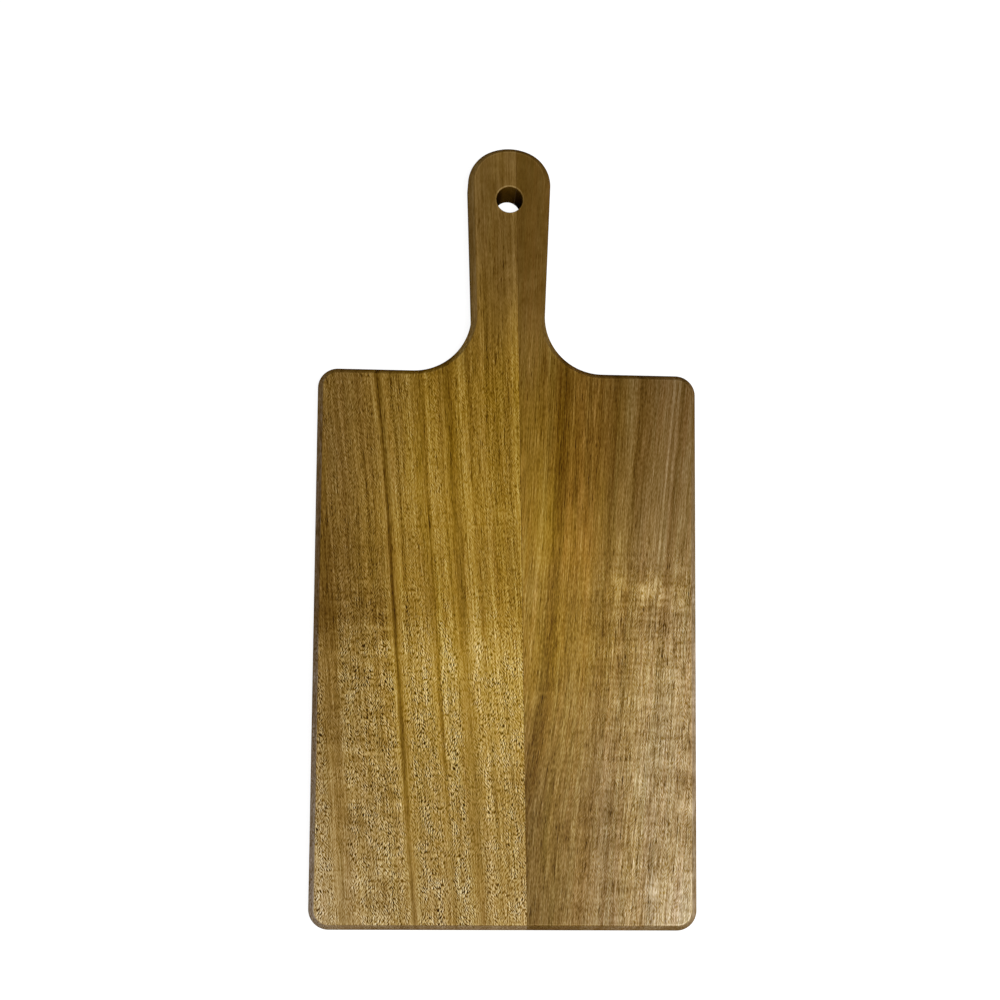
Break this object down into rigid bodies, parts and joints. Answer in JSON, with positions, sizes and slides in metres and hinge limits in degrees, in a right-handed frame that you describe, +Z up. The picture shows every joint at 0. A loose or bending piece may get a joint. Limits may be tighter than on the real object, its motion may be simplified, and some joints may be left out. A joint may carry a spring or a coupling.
{
  "type": "paddle charcuterie board",
  "caption": "Flat wooden serving board with rounded corners, bevelled edges and a flared paddle handle with a hanging hole, edge-glued from staves along a slightly skewed joint",
  "frame": {"origin": "on the underside, half way along the board's length and width", "axes": "+X across the blade to the right stave, +Y along the board toward the handle, +Z up out of the serving face"},
  "size_m": [0.19, 0.393, 0.016],
  "materials": {
    "wood_left": "oiled",
    "wood_right": "oiled",
    "glue": "matt"
  },
  "bodies": {
    "root": {"left_stave": "wood_left", "right_stave": "wood_right", "glue_line": "glue"}
  },
  "joints": []
}
